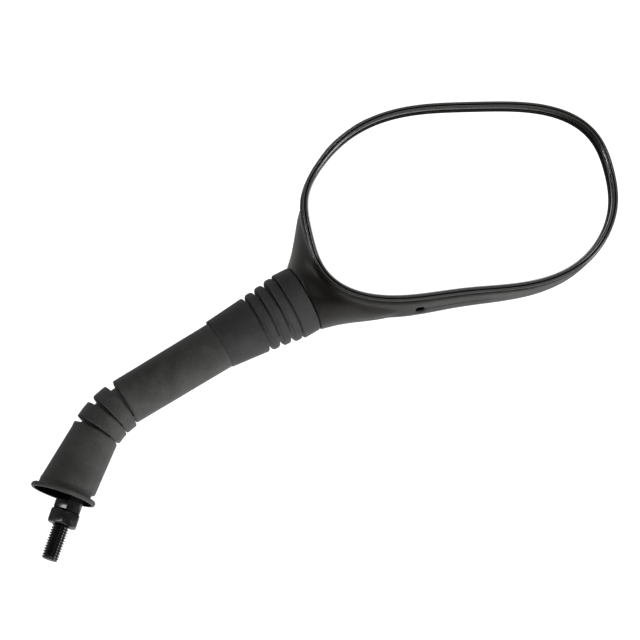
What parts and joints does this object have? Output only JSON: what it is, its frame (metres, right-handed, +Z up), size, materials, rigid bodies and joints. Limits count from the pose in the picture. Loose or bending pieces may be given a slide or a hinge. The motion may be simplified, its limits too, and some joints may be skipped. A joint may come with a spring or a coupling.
{
  "type": "motorcycle mirror",
  "caption": "Rear-view mirror with a bent stem in a rubber sleeve, a threaded stud with a lock nut, a folded rubber boot over a ball joint and a moulded housing round a domed glass.",
  "frame": {"origin": "middle of the lock nut's lower face, on the stud's axis", "axes": "+Z up along the stud, away from its free end; the stem bends towards +X; the glass faces -Y"},
  "size_m": [0.2148, 0.051, 0.2744],
  "materials": {
    "black_steel": "gloss black",
    "bright_steel": "ground",
    "sleeve_rubber": "matte moulded",
    "boot_rubber": "matte moulded",
    "housing_plastic": "fine grain",
    "bezel_plastic": "semi-gloss",
    "mirror": "silvered",
    "foam": "foam",
    "backing_plastic": "plain",
    "seat_plastic": "smooth",
    "clamp_steel": "plated"
  },
  "bodies": {
    "arm": {"stem": "black_steel", "ball": "bright_steel", "lock_nut": "black_steel", "arm_sleeve": "sleeve_rubber", "joint_boot": "boot_rubber"},
    "lower_seat": {"seat_lower": "seat_plastic"},
    "upper_seat": {"seat_upper": "seat_plastic"},
    "head": {"head_shell": "housing_plastic", "bezel": "bezel_plastic", "mirror_glass": "mirror", "foam_pad": "foam", "backing_plate": "backing_plastic", "pressure_ring": "seat_plastic", "clamp_spring": "clamp_steel", "clamp_plate": "clamp_steel", "clamp_screw_1": "clamp_steel", "clamp_screw_2": "clamp_steel"}
  },
  "joints": [
    {"name": "head_tilt", "type": "hinge", "parent": "arm", "child": "lower_seat", "pos_m": [0.0695, 0, 0.13262], "axis": [-0.7385, 0, 0.6743], "range_deg": [-15, 15], "deforming": ["joint_boot"]},
    {"name": "head_swing", "type": "hinge", "parent": "lower_seat", "child": "upper_seat", "pos_m": [0.0695, 0, 0.13262], "axis": [0, -1, 0], "range_deg": [-15, 15]},
    {"name": "head_turn", "type": "hinge", "parent": "upper_seat", "child": "head", "pos_m": [0.0695, 0, 0.13262], "axis": [0.6743, 0, 0.7385], "range_deg": [-20, 20]}
  ]
}
